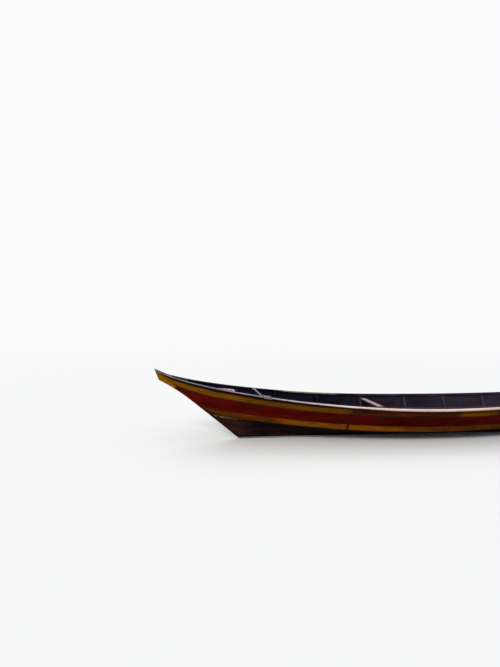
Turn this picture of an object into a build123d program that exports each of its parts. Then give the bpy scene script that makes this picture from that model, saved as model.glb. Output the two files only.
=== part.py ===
"""Plank-built wooden fishing canoe: hard-chine V-bottom, raked prow, pointed stern.

Millimetres. +X to the bow, +Y to port, +Z up. The origin lies amidships on the centreline at
the light waterline. Every station is a slanted plane that holds the Y direction and runs from
the rabbet on the keel up to the sheer, so the first and last ones lie along stem and sternpost.
"""
from build123d import *
from collections import namedtuple
import os

os.makedirs("parts", exist_ok=True)

DRAFT = 250                 # light waterline above the underside of the keel shoe

# Backbone: shoe, keel, stem and sternpost share the centreline
KEEL_WIDE = 56
SHOE_WIDE = 66
SHOE_HIGH = 28
KEEL_TOP = 100
RABBET_UP = 60              # lower outer corner of the garboards
POST_PROUD = 48             # stem and sternpost ahead of the plank ends, measured level
POST_DEEP = 211             # and their whole depth, measured level
STEM_STRAIGHT = 0.55        # share of its height up to which the stem is straight; it then bends forward
NOSE_PROUD = 32             # the prow's tip stands this far ahead of the planks
NOSE_UP = 32                # and this far above the sheer
NOSE_CUT = (50, 170)        # its steep front starts this far aft of the planks' tips and below them

# Planking
PLANK = 22
SEAM = 0.4                  # half of a caulked seam
FIT = 0.35                  # between curved faces of neighbours
SHEER_MID = 654             # sheer above the ground amidships
SHEER_BEAM = 800            # half breadth of the planks at the sheer amidships
CHINE_BEAM = 570
BULGE = 10                  # the sides belly out between chine and sheer

# Gunwale
RAIL_PROUD = 4
RAIL_SPLIT = 1606           # joint between the fore and the thicker aft rails
RAIL_FORE = (36, 36)        # thick, deep
RAIL_AFT = (44, 34)
INWALE = (40, 45)
INWALE_END = 0.885

# Inside
FRAME_SIDED = 45
FRAME_DEEP = 60
KNEE = 70                   # the frames' inner corner is cut back this far each way at the chine
FLOOR_TOP = 172
LIMBER = (30, 130)          # drain notch beside the keel: wide, top above the ground
THWART_DROP = 72            # thwart tops below the sheer
THWART_THICK = 30
CLEAT = (65, 45)            # wide, deep
DECK_DROP = 62              # platforms' inner edges below the sheer
DECK_THICK = 25
DECK_RISE = (0.13, 0.07)    # their slopes towards the ends, bow and stern
DECK_GAPS = (22, 3)         # and their distances from the end frames
TIE_BAR_AT = 3280
TIE_BAR = (45, 22)          # wide, deep; its top is level with the sheer
BLOCK_LAP = 0.03            # butt blocks each way of a butt, as a share of the station run
BLOCK_IN = 15               # and in from the edges of the strake
BUTT_AHEAD = 116            # fore butt of the sheer strake ahead of the joint in the rails

End = namedtuple("End", "foot tip rise curl lift")
BOW = End(foot=3637, tip=5140, rise=480, curl=51, lift=72)
STERN = End(foot=3900, tip=4790, rise=300, curl=51, lift=30)

FRAME_AT = (470 - STERN.foot, 1340 - STERN.foot, -1690, -840, 30, 1018, 1950, BOW.foot - 787, BOW.foot)

HALF_KEEL = KEEL_WIDE / 2
SIDE_END = HALF_KEEL + FIT + PLANK
AMPLE = 3 * BOW.tip         # blocks that only cut

STATIONS = [-1, -5 / 6, -4 / 6, -3 / 6, -2 / 6, -1 / 6, 0, 1 / 6, 2 / 6, 3 / 6, 4 / 6, 5 / 6, 11 / 12, 1]

Strake = namedtuple("Strake", "name lower butts")
STRAKES = (
    Strake("garboard", 0, (0.13,)),
    Strake("bilge_strake", 1, (-0.1,)),
    Strake("lower_strake", 2, (0.346,)),
    Strake("middle_strake", 3, (-0.284,)),
    Strake("sheer_strake", 4, ((RAIL_SPLIT + BUTT_AHEAD) / BOW.tip, -0.057)),
)


def ends_at(q):
    """Foot and sheer point of station q, which runs from -1 at the stern to 1 at the bow."""
    end = BOW if q > 0 else STERN
    height = SHEER_MID + end.rise * q**2 + end.curl * q**4 + end.lift * q**16
    return end.foot * q, end.tip * q, height


def sheer_over(x):
    return ends_at(x / (BOW.tip if x > 0 else STERN.tip))[2]


def station_plane(q):
    foot, tip, height = ends_at(q)
    up = Vector(tip - foot, 0, height - RABBET_UP).normalized()
    return Plane(origin=(foot, 0, RABBET_UP - DRAFT), x_dir=(0, 1, 0), z_dir=(up.Z, 0, -up.X))


def shell_line(q):
    """Outer corners of the strakes at station q, rabbet to sheer, in the station's own plane."""
    foot, tip, height = ends_at(q)
    length = Vector(tip - foot, 0, height - RABBET_UP).length
    full = max(1 - q**2, 0.0015)
    chine_up = (0.21 + 0.24 * q**2 - 0.11 * q**4) * length
    chine = Vector(SIDE_END + (CHINE_BEAM - SIDE_END) * full * (1 - 0.2 * q**2), chine_up)
    sheer = Vector(SIDE_END + (SHEER_BEAM - SIDE_END) * full, length)
    rabbet = Vector(SIDE_END, 0)
    for _ in range(4):
        run = (chine - rabbet).normalized()
        rabbet = Vector(HALF_KEEL + FIT + PLANK * run.Y, 0)
    line = [rabbet]
    for low, high, share, belly in (
        (rabbet, chine, 0.5, 0.5),
        (rabbet, chine, 1, 0),
        (chine, sheer, 0.252 - 0.09 * q**2, 1),
        (chine, sheer, 0.65 - 0.02 * q**2, 1),
        (chine, sheer, 1, 0),
    ):
        run = (high - low).normalized()
        out = BULGE * belly * full * 4 * share * (1 - share)
        line.append(low + (high - low) * share + Vector(run.Y, -run.X) * out)
    return line


def inward(line, depth):
    """The line moved square into the boat, with mitred corners."""
    runs = [(b - a).normalized() for a, b in zip(line, line[1:])]
    normals = [Vector(-run.Y, run.X) for run in runs]
    moved = [line[0] + normals[0] * depth]
    for corner, before, after in zip(line[1:], normals, normals[1:]):
        miter = before + after
        moved.append(corner + miter * (2 * depth / miter.length**2))
    return moved + [line[-1] + normals[-1] * depth]


def section(q, corners):
    with BuildSketch(station_plane(q)) as outline:
        with BuildLine():
            Polyline([(point.X, point.Y) for point in corners], close=True)
        make_face()
    return outline.sketch


def between(part, first, last):
    """The length of a full timber between two stations."""
    with BuildPart() as piece:
        add(part)
        for q, ahead in ((first, -AMPLE), (last, AMPLE)):
            if abs(q) < 1:
                with BuildSketch(station_plane(q)):
                    Rectangle(AMPLE, AMPLE)
                extrude(amount=ahead, mode=Mode.SUBTRACT)
    return piece.part


def keep(part, name):
    part.label = name
    export_step(part, f"parts/{name}.step")


def keep_pair(part, name):
    with BuildPart() as other:
        add(part.mirror(Plane.XZ))
    keep(part, name + "_port")
    keep(other.part, name + "_starboard")


def keep_pairs(parts, name):
    """Like pieces, port and starboard, as one node."""
    with BuildPart() as both:
        for part in parts:
            add(part)
            add(part.mirror(Plane.XZ))
    keep(both.part, name)


def strake_of(lower, depth=0, below=SEAM, above=SEAM):
    """A whole strake between two seams, from sternpost to stem, or a band inside it."""
    sections = []
    for q in STATIONS:
        line = shell_line(q)
        near, far = inward(line, depth), inward(line, depth + PLANK)
        run = (line[lower + 1] - line[lower]).normalized()
        sections.append(section(q, [near[lower] + run * below, near[lower + 1] - run * above,
                                    far[lower + 1] - run * above, far[lower] + run * below]))
    with BuildPart() as board:
        loft(sections)
    return board.part


def batten(gap, thick, deep, proud):
    """A timber along the sheer; gap is its distance inboard of the planks' outer face."""
    sections = []
    for q in STATIONS:
        line = shell_line(q)
        run = (line[5] - line[4]).normalized()
        taper = 1 - 0.55 * q**8 if gap < 0 else 1
        near = inward(line, gap)[5]
        far = inward(line, gap + thick * taper)[5]
        sections.append(section(q, [near + run * proud, near - run * deep,
                                    far - run * deep, far + run * proud]))
    with BuildPart() as timber:
        loft(sections)
    return timber.part


def hollow(limit, depth, top, knee=0):
    """Solid of the boat's inside at a depth from the planks' outer face."""
    sections = []
    for q in [-limit] + [q for q in STATIONS if abs(q) < limit] + [limit]:
        line = shell_line(q)
        runs = [(b - a).normalized() for a, b in zip(line, line[1:])]
        side = inward(line, depth)
        side[5] = side[5] + runs[4] * top
        if knee:
            side[2:3] = [side[2] - runs[1] * knee, side[2] + runs[2] * knee]
        port = [Vector(max(point.X, 4), point.Y) for point in side]
        sections.append(section(q, port + [Vector(-point.X, point.Y) for point in reversed(port)]))
    with BuildPart() as core:
        loft(sections)
    return core.part


def side_point(x, up):
    """A point of the side view, from its height above the ground."""
    return x, up - DRAFT


def profile(points, wide):
    """A timber on the centreline, drawn in side view as (x, height above the ground)."""
    with BuildPart() as timber:
        with BuildSketch(Plane.XZ):
            with BuildLine():
                Polyline([side_point(*point) for point in points], close=True)
            make_face()
        extrude(amount=wide / 2, both=True)
    return timber.part


def post_line(end, up, back=0):
    """Distance from amidships of a post's outer face at a height, less back."""
    rise = ends_at(1 if end is BOW else -1)[2] - RABBET_UP
    return end.foot + POST_PROUD - back + (up - RABBET_UP) * (end.tip - end.foot) / rise


def post_head(end, back):
    """Where a post's inner face meets the top of the gunwale: distance and height."""
    sign = 1 if end is BOW else -1
    up = sheer_over(sign * end.tip)
    for _ in range(12):
        up = sheer_over(sign * min(post_line(end, up, back), end.tip)) + RAIL_PROUD
    return post_line(end, up, back), up


# Backbone
stem_low, stern_low = post_line(BOW, SHOE_HIGH), -post_line(STERN, SHOE_HIGH)
shoe = profile([(stem_low - 40, 0), (stem_low, SHOE_HIGH),
                (stern_low, SHOE_HIGH), (stern_low + 30, 0)], SHOE_WIDE)
keep(shoe, "keel_shoe")
keel = profile([(stem_low, SHOE_HIGH), (post_line(BOW, KEEL_TOP), KEEL_TOP),
                (-post_line(STERN, KEEL_TOP), KEEL_TOP), (stern_low, SHOE_HIGH)], KEEL_WIDE)
keep(keel, "keel")

bow_up = ends_at(1)[2]
bend_up = RABBET_UP + STEM_STRAIGHT * (bow_up - RABBET_UP)
with BuildPart() as stem_timber:
    with BuildSketch(Plane.XZ):
        with BuildLine():
            front = Line(side_point(post_line(BOW, KEEL_TOP), KEEL_TOP),
                         side_point(post_line(BOW, bend_up), bend_up))
            cheek = TangentArc(front @ 1, side_point(BOW.tip - NOSE_CUT[0], bow_up - NOSE_CUT[1]),
                               tangent=front % 1)
            Polyline(cheek @ 1, side_point(BOW.tip + NOSE_PROUD, bow_up + NOSE_UP),
                     side_point(*post_head(BOW, POST_DEEP)),
                     side_point(post_line(BOW, KEEL_TOP, POST_DEEP), KEEL_TOP), front @ 0)
        make_face()
    extrude(amount=KEEL_WIDE / 2, both=True)
stem = stem_timber.part
keep(stem, "stem")

post_top = ends_at(-1)[2] + NOSE_UP
aft_head = post_head(STERN, POST_DEEP)
sternpost = profile([(-post_line(STERN, KEEL_TOP), KEEL_TOP), (-post_line(STERN, post_top), post_top),
                     (-aft_head[0], aft_head[1]), (-post_line(STERN, KEEL_TOP, POST_DEEP), KEEL_TOP)],
                    KEEL_WIDE)
keep(sternpost, "sternpost")

# Planking, with a block behind each butt, fitted to the inside of the planks below the inwale
room = hollow(1, PLANK + FIT, -INWALE[1] - FIT)
blocks = []
for strake in STRAKES:
    board = strake_of(strake.lower)
    cuts = [1, *strake.butts, -1]
    names = ("fore", "mid", "aft") if len(cuts) == 4 else ("fore", "aft")
    for name, last, first in zip(names, cuts, cuts[1:]):
        keep_pair(between(board, first, last), f"{strake.name}_{name}")
    above = INWALE[1] + BLOCK_IN if strake.lower == 4 else BLOCK_IN
    lining = strake_of(strake.lower, PLANK, BLOCK_IN, above)
    for butt in strake.butts:
        with BuildPart() as block:
            add(between(lining, butt - BLOCK_LAP, butt + BLOCK_LAP))
            add(room, mode=Mode.INTERSECT)
        blocks.append(block.part)
keep_pairs(blocks, "butt_blocks")

# Gunwale
joint = RAIL_SPLIT / BOW.tip
keep_pair(between(batten(-FIT, -RAIL_FORE[0], RAIL_FORE[1], RAIL_PROUD), joint, 1), "rail_fore")
keep_pair(between(batten(-FIT, -RAIL_AFT[0], RAIL_AFT[1], RAIL_PROUD), -1, joint), "rail_aft")
keep_pair(between(batten(PLANK + FIT, INWALE[0], INWALE[1], 2), -INWALE_END, INWALE_END), "inwale")

# Heads that close the narrow ends between the sheer strakes
full_room = hollow(1, PLANK + FIT, 2)
for name, end, sign in (("prow_head", BOW, 1), ("stern_head", STERN, -1)):
    start = INWALE_END * end.tip + 14
    with BuildPart() as head:
        with Locations((sign * start, 0, sheer_over(sign * start) - 60 - DRAFT)):
            Box(AMPLE, AMPLE, AMPLE, align=(Align.MIN if sign > 0 else Align.MAX, Align.CENTER, Align.MIN))
        add(full_room, mode=Mode.INTERSECT)
        with Locations((sign * (end.tip - 60), 0, 0)):
            Box(AMPLE, AMPLE, AMPLE, align=(Align.MIN if sign > 0 else Align.MAX, Align.CENTER, Align.CENTER),
                mode=Mode.SUBTRACT)
        add(stem if sign > 0 else sternpost, mode=Mode.SUBTRACT)
    keep(head.part, name)

# Frames, cut to the inside of the planks and let over the keel
with BuildPart() as space:
    add(hollow(11 / 12, PLANK + FIT + FRAME_DEEP, 60, KNEE))
    with Locations((0, 0, FLOOR_TOP - DRAFT)):
        Box(AMPLE, AMPLE, AMPLE, align=(Align.CENTER, Align.CENTER, Align.MAX), mode=Mode.SUBTRACT)

for number, x in enumerate(FRAME_AT, start=1):
    with BuildPart() as frame:
        with Locations((x, 0, 0)):
            Box(FRAME_SIDED, AMPLE, AMPLE)
        add(room, mode=Mode.INTERSECT)
        add(space.part, mode=Mode.SUBTRACT)
        add(keel, mode=Mode.SUBTRACT)
        add(stem, mode=Mode.SUBTRACT)
        with Locations((x, 0, LIMBER[1] / 2 - DRAFT)):
            with GridLocations(0, KEEL_WIDE + LIMBER[0], 1, 2):
                Box(2 * FRAME_SIDED, LIMBER[0], LIMBER[1], mode=Mode.SUBTRACT)
    keep(frame.part, f"frame_{number}")

# Thwarts, each hard against a frame, with a cleat under each end
Thwart = namedtuple("Thwart", "name frame side wide")
THWARTS = (
    Thwart("fore_thwart", 6, -1, 140),
    Thwart("main_thwart", 2, 1, 140),
    Thwart("stern_thwart", 1, 1, 140),
)
cleats = []
for thwart in THWARTS:
    x = FRAME_AT[thwart.frame - 1] + thwart.side * (FRAME_SIDED + thwart.wide) / 2
    top = sheer_over(x) - THWART_DROP - DRAFT
    with BuildPart() as seat:
        with Locations((x, 0, top)):
            Box(thwart.wide, AMPLE, THWART_THICK, align=(Align.CENTER, Align.CENTER, Align.MAX))
        add(room, mode=Mode.INTERSECT)
    keep(seat.part, thwart.name)
    with BuildPart() as cleat:
        with Locations((x, seat.part.bounding_box().max.Y, top - THWART_THICK)):
            Box(thwart.wide, 2 * CLEAT[0], CLEAT[1], align=(Align.CENTER, Align.CENTER, Align.MAX))
        add(room, mode=Mode.INTERSECT)
    cleats.append(cleat.part)
keep_pairs(cleats, "thwart_cleats")

# Platforms at both ends, from the end frame to the post, rising with the sheer
for name, end, sign, frame_at, gap, rise, post in (
    ("bow_platform", BOW, 1, FRAME_AT[-1], DECK_GAPS[0], DECK_RISE[0], stem),
    ("stern_platform", STERN, -1, FRAME_AT[0], DECK_GAPS[1], DECK_RISE[1], sternpost),
):
    edge = frame_at + sign * (FRAME_SIDED / 2 + gap)
    top = sheer_over(edge) - DECK_DROP
    slope = Vector(sign, 0, rise).normalized()
    deck = Plane(origin=(edge, 0, top - DRAFT), x_dir=slope, z_dir=(-sign * slope.Z, 0, abs(slope.X)))
    with BuildPart() as boards:
        with Locations(deck):
            Box(end.tip - abs(edge), AMPLE, DECK_THICK, align=(Align.MIN, Align.CENTER, Align.MAX))
        add(room, mode=Mode.INTERSECT)
        add(post, mode=Mode.SUBTRACT)
    keep(boards.part, name)

# Tie bar between the inwales
with BuildPart() as tie_bar:
    with Locations((TIE_BAR_AT, 0, sheer_over(TIE_BAR_AT) - DRAFT)):
        Box(TIE_BAR[0], AMPLE, TIE_BAR[1], align=(Align.CENTER, Align.CENTER, Align.MAX))
    add(hollow(INWALE_END, PLANK + INWALE[0] + 2 * FIT, TIE_BAR[1]), mode=Mode.INTERSECT)
keep(tie_bar.part, "tie_bar")
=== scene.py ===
"""Looks of a plank-built wooden fishing canoe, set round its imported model. Metres, +X to the bow."""
import math
from collections import namedtuple

import bpy
import numpy as np
from mathutils import Matrix, Vector
from mathutils.bvhtree import BVHTree


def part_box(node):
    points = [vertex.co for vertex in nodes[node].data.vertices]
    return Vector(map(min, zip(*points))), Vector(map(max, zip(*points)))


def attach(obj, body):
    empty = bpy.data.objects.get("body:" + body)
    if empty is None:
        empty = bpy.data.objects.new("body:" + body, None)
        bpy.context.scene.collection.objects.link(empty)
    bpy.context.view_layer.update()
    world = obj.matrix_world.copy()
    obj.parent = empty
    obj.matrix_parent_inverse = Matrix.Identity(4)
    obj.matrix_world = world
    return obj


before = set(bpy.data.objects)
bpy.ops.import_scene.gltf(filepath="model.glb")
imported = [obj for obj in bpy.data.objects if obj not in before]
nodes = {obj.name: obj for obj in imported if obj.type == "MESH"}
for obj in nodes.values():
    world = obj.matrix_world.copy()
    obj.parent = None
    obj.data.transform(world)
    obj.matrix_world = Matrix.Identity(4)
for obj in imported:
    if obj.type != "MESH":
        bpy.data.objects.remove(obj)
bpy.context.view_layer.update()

# The photograph's view: where the camera stands, where it looks, how far it leans, and its lens
CAMERA_AT = Vector((4.912, 9.088, 2.101))
CAMERA_LOOK = Vector((-0.1591, -0.9863, -0.0444))
CAMERA_LEAN = math.radians(1.17)
FOCUS_PIXELS = 500
LONG_SIDE_PIXELS = 667

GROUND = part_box("keel_shoe")[0].z

# Paints and woods, as linear colours
OCHRE = (0.235, 0.098, 0.0018)
OCHRE_DEEP = (0.128, 0.042, 0.0014)
OCHRE_WARM = (0.205, 0.058, 0.0014)
OCHRE_FADED = (0.150, 0.062, 0.012)
RED = (0.115, 0.0026, 0.0006)
RED_DEEP = (0.036, 0.0008, 0.0005)
RED_WARM = (0.078, 0.0062, 0.0012)
RED_FADED = (0.100, 0.016, 0.009)
ORANGE = (0.270, 0.085, 0.0012)
ORANGE_DEEP = (0.085, 0.021, 0.0012)
ORANGE_WARM = (0.290, 0.072, 0.0010)
ORANGE_FADED = (0.270, 0.120, 0.012)
TAR = (0.0060, 0.0036, 0.0044)
TAR_DEEP = (0.0030, 0.0022, 0.0028)
TAR_WORN = (0.034, 0.012, 0.010)
NAVY = (0.0022, 0.0024, 0.0085)
PLUM = (0.0115, 0.0085, 0.0210)
PLUM_FADED = (0.036, 0.030, 0.046)
FRAME_WORN = (0.046, 0.045, 0.072)
OLD_WOOD = (0.074, 0.0160, 0.0052)
OLD_WOOD_DARK = (0.026, 0.0052, 0.0022)
BAR_GREY = (0.52, 0.52, 0.62)
GREY_WOOD = (0.30, 0.29, 0.34)
SHOE_WOOD = (0.20, 0.20, 0.25)
SHOE_WOOD_DARK = (0.07, 0.07, 0.09)
RAIL_LAVENDER = (0.36, 0.35, 0.47)
RAIL_LAVENDER_DARK = (0.17, 0.14, 0.18)
RAIL_PINK = (0.80, 0.70, 0.73)
RAIL_TAN = (0.76, 0.57, 0.49)
RAIL_TAN_DARK = (0.42, 0.28, 0.23)
BLEACHED = (0.76, 0.57, 0.53)
BLEACHED_DARK = (0.36, 0.26, 0.24)
SEAT_WOOD = (0.52, 0.43, 0.45)
SEAT_WOOD_DARK = (0.28, 0.21, 0.21)
RUBBED = (0.22, 0.17, 0.13)
CHINE = (0.36, 0.21, 0.16)
MUD = (0.10, 0.075, 0.055)
# Dark of real grime, used also as the colour of painted shade and painted shadow
GRIME_AND_SHADE = (0.0060, 0.0030, 0.0026)
RUST = (0.060, 0.018, 0.007)
RUST_DARK = (0.014, 0.006, 0.004)
PITCH = (0.0045, 0.0032, 0.0032)
ROPE = (0.34, 0.33, 0.31)
ROPE_DARK = (0.11, 0.10, 0.095)
FLOOR = (0.72, 0.72, 0.717)
FLOOR_UNDER = (0.30, 0.30, 0.30)
BACKDROP = (0.965, 0.965, 0.965)
ROOM_LIGHT = (0.95, 0.97, 1.0)

STRAKES = ("garboard", "bilge_strake", "lower_strake", "middle_strake", "sheer_strake")
RAILS = ("rail_fore", "rail_aft")
FRAME_COUNT = 9

# A dark band crosses the orange strake: its place, and how far from there it starts and ends to fade
DARK_BAND_AT = 1.70
DARK_BAND_FADES = (0.020, 0.038)

# The starboard inwale's top is rubbed pale from one place to another, and this far down
INWALE_RUBBED = (1.55, 2.70)
INWALE_RUBBED_DOWN = (0.016, 0.022)

# Dried mud inside and outside: how high above the ground it ends, and over what height
INSIDE_MUD = (0.13, 0.08)
OUTSIDE_MUD = (0.04, 0.05)

# The sheer strake is bare about its middle length: from so far abaft that length's after end to so far
# into the fore length. Its after length is bare from the stern to one place and again near its butt.
BARE_ABAFT, BARE_AHEAD = 0.8, 0.15
STERN_BARE_TO = -1.12
BUTT_BARE = 0.10
BEYOND = 9.0

# The pale crowns of tie bar and fore thwart: half the bar's width; the seat's shift and dark margin
BAR_CROWN = 0.0065
SEAT_CROWN_AHEAD, SEAT_CROWN_MARGIN = 0.015, 0.024

# The tops of the two heads turn from bare to navy between these distances from the boat's ends
BOW_TOP_BARE = (0.14, 0.24)
STERN_TOP_BARE = (0.3, 0.4)

# How deep the bumps of each finish are, and the gloss of all
TIMBER_RELIEF = 0.0012
WEATHERED_RELIEF = 0.0014
IRON_RELIEF = 0.0004
PITCH_RELIEF = 0.0010
ROPE_RELIEF = 0.0006
FLOOR_RELIEF = 0.0003
GLOSS = 0.02

# Planks and rails are measured in slices, the first and last a margin short of their ends. A plank's
# corner is looked for within a depth of its edge. A curve in a material has fewer points.
SLICES = 33
SLICE_MARGIN = 0.02
CORNER_DEPTH = 0.008
CURVE_POINTS = 13

# Nail heads: their radii, their flat tops and heights as shares of that, and how much they differ
FRAME_NAIL, END_NAIL, RAIL_NAIL = 0.0065, 0.0060, 0.0070
HEAD_TOP = 0.55
HEAD_HEIGHT = 0.35
NAIL_SPREAD = 0.2

# Frame nails: place across the strake and off the frame's middle, kept clear of a strake's ends and
# of the frame's foot
FRAME_NAIL_SPOTS = ((0.16, 0.009), (0.5, -0.009), (0.84, 0.009))
FRAME_NAIL_MARGIN = 0.1
FRAME_NAIL_LOWEST = 0.02

# Nails at the posts: places across the strake and back from its end
END_NAIL_SHARES = (0.2, 0.5, 0.8)
END_NAIL_BACK = (0.03, 0.10)

# Rail nails: step, distance from the rails' ends, and places across the rail by turns
RAIL_NAIL_STEP = 0.31
RAIL_NAIL_MARGIN = 0.10
RAIL_NAIL_SHARES = (0.7, 0.3)

SEAM_POINTS = 90
SEAM_WIDE, SEAM_STEP, SEAM_UNEVEN = 0.0032, 0.05, 0.6

# Rope: thickness, length and turns of the spare piece, those of the two on the bar, and their clearance
ROPE_THICK = 0.009
ROPE_CORNER = ROPE_THICK * 0.8
SPARE_ROPE_REACH, SPARE_ROPE_TURNS = 0.125, 11
BAR_ROPE_REACH, BAR_ROPE_TURNS = 0.050, 4
ROPE_CLEAR = 0.008

# The floor, and the distances between which it turns into the backdrop
FLOOR_REACH, FLOOR_RINGS, FLOOR_SPOKES = 160.0, 24, 48
FLOOR_FADES = (9.0, 30.0)

ROOM_STRENGTH = 0.80
Lamp = namedtuple("Lamp", "name toward strength wide colour")
LAMPS = (
    Lamp("key", (-0.45, -0.72, -0.55), 2.2, 20, (1.0, 0.96, 0.90)),
    Lamp("back", (-0.20, 0.75, -0.70), 0.8, 35, (0.93, 0.96, 1.0)),
)


def rgba(colour):
    return (*colour, 1.0)


def wire(tree, made, values):
    """Sets a node's inputs by name or number; a value that is a socket is linked."""
    for name, value in values.items():
        if isinstance(value, bpy.types.NodeSocket):
            tree.links.new(value, made.inputs[name])
        else:
            made.inputs[name].default_value = value


def new_node(tree, kind, values=None, **settings):
    made = tree.nodes.new(kind)
    for name, setting in settings.items():
        setattr(made, name, setting)
    wire(tree, made, values or {})
    return made


def add_node(tree, kind, values=None, **settings):
    """One shader node. Maths and noise work in a geometry tree too."""
    return new_node(tree, "ShaderNode" + kind, values, **settings)


def geo(tree, kind, values=None, **settings):
    """One geometry node."""
    return new_node(tree, "GeometryNode" + kind, values, **settings)


def calc(tree, operation, a, b=0.0):
    return add_node(tree, "Math", {0: a, 1: b}, operation=operation).outputs[0]


def plus(tree, a, b):
    return calc(tree, "ADD", a, b)


def minus(tree, a, b):
    return calc(tree, "SUBTRACT", a, b)


def times(tree, product, *factors):
    for factor in factors:
        product = calc(tree, "MULTIPLY", product, factor)
    return product


def distance(tree, a, b):
    return calc(tree, "ABSOLUTE", minus(tree, a, b))


def swing(tree, value, width):
    """A noise value spread about 0 instead of about a half."""
    return times(tree, minus(tree, value, 0.5), width)


def add_up(tree, *terms):
    """Sum of value times weight."""
    total = None
    for value, weight in terms:
        part = times(tree, value, weight)
        total = part if total is None else plus(tree, total, part)
    return total


def ramp_linear(tree, value, low, high):
    return add_node(tree, "MapRange", {"Value": value, "From Min": low, "From Max": high}).outputs[0]


def ramp(tree, value, low, high, start=0.0, end=1.0):
    values = {"Value": value, "From Min": low, "From Max": high, "To Min": start, "To Max": end}
    return add_node(tree, "MapRange", values, interpolation_type="SMOOTHSTEP").outputs[0]


def between(tree, value, low, high, soft):
    """1 from low to high, with soft ends."""
    rise = ramp(tree, value, low - soft, low + soft)
    return times(tree, rise, ramp(tree, value, high + soft, high - soft))


def mix(tree, share, below, above):
    """One colour over another; colours are sockets or linear triples."""
    values = {0: share}
    for number, colour in ((6, below), (7, above)):
        values[number] = colour if isinstance(colour, bpy.types.NodeSocket) else rgba(colour)
    return add_node(tree, "Mix", values, data_type="RGBA").outputs[2]


def stretch(tree, place, scale):
    return add_node(tree, "VectorMath", {0: place, 1: scale}, operation="MULTIPLY").outputs[0]


def noise(tree, place, scale, detail=3.0, rough=0.55, twist=0.0):
    values = {"Vector": place, "Scale": scale, "Detail": detail, "Roughness": rough}
    return add_node(tree, "TexNoise", {**values, "Distortion": twist}).outputs[0]


def seen_directly(tree):
    """1 for what the camera, a reflection or a clear piece shows, 0 for light on its way round."""
    paths = add_node(tree, "LightPath").outputs
    return calc(tree, "MAXIMUM", paths["Is Camera Ray"],
                calc(tree, "MAXIMUM", paths["Is Glossy Ray"], paths["Is Transmission Ray"]))


def new_tree(name, family, inputs, outputs):
    """An empty tree with named sockets: inputs as (name, kind, value), outputs as (name, kind)."""
    tree = bpy.data.node_groups.new(name, family + "NodeTree")
    for label, kind, value in inputs:
        socket = tree.interface.new_socket(label, in_out="INPUT", socket_type="NodeSocket" + kind)
        if value is not None:
            socket.default_value = value
    for label, kind in outputs:
        tree.interface.new_socket(label, in_out="OUTPUT", socket_type="NodeSocket" + kind)
    return tree, tree.nodes.new("NodeGroupInput").outputs, tree.nodes.new("NodeGroupOutput")


def place_group(tree, group, values):
    return add_node(tree, "Group", values, node_tree=group).outputs


def grain_group():
    """Sawn timber whose fibres run along X of the given place."""
    tree, given, end = new_tree("timber grain", "Shader", [
        ("Place", "Vector", None), ("Along", "Float", 0.9), ("Across", "Float", 16.0),
        ("Twist", "Float", 0.8)], [("Grain", "Float"), ("Fibres", "Float"), ("Cracks", "Float")])
    across = given["Across"]
    scale = add_node(tree, "CombineXYZ", {0: given["Along"], 1: across, 2: across}).outputs[0]
    along = stretch(tree, given["Place"], scale)
    broad = noise(tree, along, 1.0, 3.0, 0.5, given["Twist"])
    fine = noise(tree, along, 4.1, 3.0, 0.6)
    line = distance(tree, noise(tree, along, 0.45, 2.0, 0.4), 0.5)
    where = ramp(tree, noise(tree, given["Place"], 1.7, 2.0), 0.47, 0.6)
    wire(tree, end, {
        "Grain": ramp(tree, add_up(tree, (broad, 0.6), (fine, 0.4)), 0.36, 0.66),
        "Fibres": noise(tree, along, 13.0, 2.0, 0.7),
        "Cracks": times(tree, ramp(tree, line, 0.0, 0.012, 1.0, 0.0), where)})
    return tree


def wear_group():
    """Where paint is chalky and where it is gone, more so at edges and on raised fibres."""
    tree, given, end = new_tree("paint wear", "Shader", [
        ("Place", "Vector", None), ("Grain", "Float", 0.5), ("Edge", "Float", 0.0),
        ("Amount", "Float", 0.3)], [("Bare", "Float"), ("Chalky", "Float"), ("Film", "Float")])
    patches = noise(tree, given["Place"], 1.9, 3.0, 0.5)
    chips = noise(tree, stretch(tree, given["Place"], (0.55, 1.7, 1.7)), 11.0, 6.0, 0.68)
    score = add_up(tree, (patches, 0.55), (chips, 0.5), (given["Grain"], 0.10), (given["Edge"], 0.22),
                   (given["Amount"], 1.0))
    wire(tree, end, {
        "Bare": ramp(tree, score, 0.985, 1.015),
        "Chalky": ramp(tree, score, 0.78, 1.06),
        "Film": ramp(tree, score, 0.97, 1.02, 1.0, 0.0)})
    return tree


def streak_group():
    """Stains that rain and spray draw down a side."""
    tree, given, end = new_tree("run-off streaks", "Shader", [
        ("Place", "Vector", None), ("Amount", "Float", 0.0)], [("Streaks", "Float")])
    runs = noise(tree, stretch(tree, given["Place"], (9.0, 9.0, 0.9)), 1.3, 4.0, 0.6)
    patches = noise(tree, given["Place"], 0.8, 2.0)
    score = add_up(tree, (runs, 0.7), (patches, 0.4), (given["Amount"], 1.0))
    wire(tree, end, {"Streaks": ramp(tree, score, 0.60, 0.80)})
    return tree


def splash_group():
    """Dried mud and sand up to an uneven level."""
    tree, given, end = new_tree("mud splash", "Shader", [
        ("Place", "Vector", None), ("Level", "Float", 0.0),
        ("Spread", "Float", 0.1)], [("Mud", "Float")])
    height = add_node(tree, "SeparateXYZ", {0: given["Place"]}).outputs[2]
    edge = noise(tree, stretch(tree, given["Place"], (1.0, 1.0, 0.7)), 4.5, 7.0, 0.66)
    drop = calc(tree, "DIVIDE", minus(tree, height, given["Level"]), given["Spread"])
    score = plus(tree, drop, swing(tree, edge, 5.0))
    wire(tree, end, {"Mud": ramp(tree, score, -1.0, 1.0, 1.0, 0.0)})
    return tree


GRAIN, WEAR, STREAKS, SPLASH = grain_group(), wear_group(), streak_group(), splash_group()

Edges = namedtuple("Edges", "xs low high")


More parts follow.
